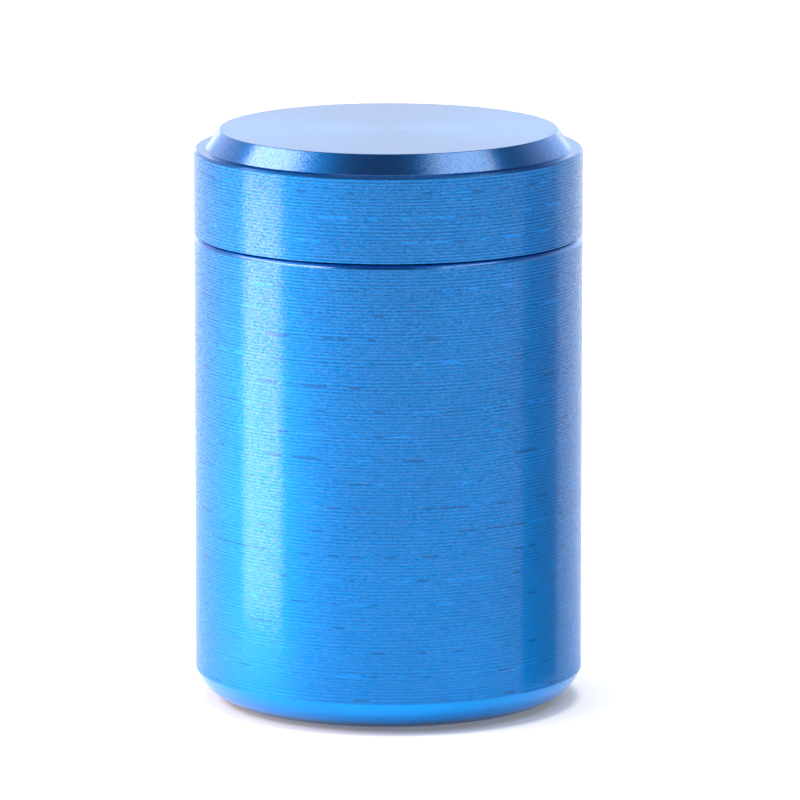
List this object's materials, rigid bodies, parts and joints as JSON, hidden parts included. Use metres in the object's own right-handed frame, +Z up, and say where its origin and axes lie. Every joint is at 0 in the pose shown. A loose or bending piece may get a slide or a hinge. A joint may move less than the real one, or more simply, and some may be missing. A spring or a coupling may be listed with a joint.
{
  "type": "pill crusher",
  "caption": "Palm-size turned aluminium pill crusher: a store can, a plug-in crushing cup and a screw lid with a sprung, toothed ram.",
  "frame": {"origin": "centre of the foot pad's underside, where the crusher stands", "axes": "+Z up along the turned axis, from the foot to the crown; the case is round, so X and Y only place the key pins and the screws"},
  "size_m": [0.047, 0.047, 0.07],
  "materials": {
    "blue_anodised": "fine turned, blue anodised",
    "clear_anodised": "turned, clear anodised",
    "stainless": "machined stainless",
    "screw_steel": "plain stainless screws",
    "spring_steel": "drawn wire",
    "white_moulding": "fine moulded satin",
    "dark_silicone": "matt moulded",
    "seal_rubber": "smooth, lightly greased",
    "frosted_silicone": "frosted, slightly translucent"
  },
  "bodies": {
    "can": {"can_shell": "blue_anodised", "store_liner": "white_moulding", "foot_pad": "dark_silicone", "key_pins": "stainless"},
    "cup": {"crush_cup": "clear_anodised", "anvil_plate": "stainless", "anvil_screws": "screw_steel", "plug_seal_upper": "seal_rubber", "plug_seal_lower": "seal_rubber"},
    "seal": {"lid_gasket": "frosted_silicone"},
    "lid": {"lid_shell": "blue_anodised", "thread_liner": "white_moulding", "spindle": "stainless", "spring_washer": "stainless", "ram_spring": "spring_steel", "retaining_washer": "stainless", "retaining_screw": "screw_steel"},
    "ram": {"ram_body": "clear_anodised", "ram_plate": "stainless", "ram_plate_screws": "screw_steel", "ram_wiper": "frosted_silicone"}
  },
  "joints": [
    {"name": "cup_lift", "type": "slide", "parent": "can", "child": "cup", "axis": [0, 0, 1], "range_m": [0, 0.04]},
    {"name": "lid_rise", "type": "slide", "parent": "cup", "child": "seal", "axis": [0, 0, 1], "range_m": [0, 0.024]},
    {"name": "lid_twist", "type": "hinge", "parent": "seal", "child": "lid", "pos_m": [0, 0, 0.0653], "axis": [0, 0, 1], "range_deg": [0, 2160]},
    {"name": "ram_float", "type": "slide", "parent": "lid", "child": "ram", "axis": [0, 0, 1], "range_m": [0, 0.0035], "stiffness_N_per_m": 1800, "springref_m": -0.0005, "deforming": ["ram_spring"]}
  ],
  "couplings": [
    {"joint": "lid_rise", "follows": "lid_twist", "m_per_rad": 0.00063662}
  ]
}
